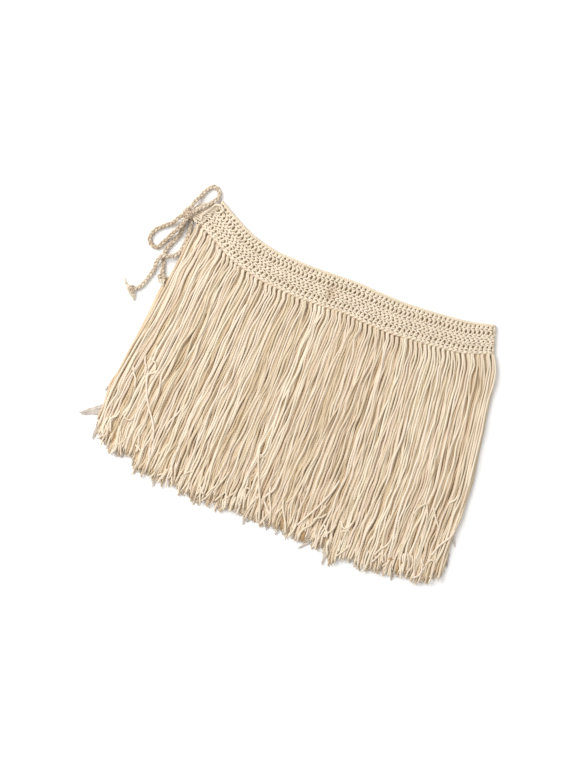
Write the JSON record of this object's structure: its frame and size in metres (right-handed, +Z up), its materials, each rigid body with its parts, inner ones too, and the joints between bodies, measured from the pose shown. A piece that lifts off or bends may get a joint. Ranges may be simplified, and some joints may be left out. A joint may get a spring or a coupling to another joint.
{
  "type": "fringed wrap skirt",
  "caption": "Short wrap skirt laid flat: crocheted cotton waistband folded in two, long yarn fringe, braided ties in a bow.",
  "frame": {"origin": "centre in plan of the waistband and fringe, on the surface that the skirt lies on", "axes": "+X along the waist towards the folded end, +Y from the hem towards the waistband, +Z up off the surface"},
  "size_m": [0.4766, 0.3755, 0.0144],
  "materials": {
    "band_yarn": "undyed cotton yarn, crocheted, matt",
    "fringe_yarn": "undyed twisted cotton yarn, matt",
    "tie_cord": "braided cotton yarn, matt"
  },
  "bodies": {
    "root": {"waistband": "band_yarn", "fringe_front": "fringe_yarn", "fringe_back": "fringe_yarn", "tie_front": "tie_cord", "tie_back": "tie_cord", "bow_knot": "tie_cord", "loop_upper": "tie_cord", "loop_lower": "tie_cord", "tail_left": "tie_cord", "tail_right": "tie_cord", "tail_left_knot": "tie_cord", "tail_right_knot": "tie_cord"}
  },
  "joints": []
}
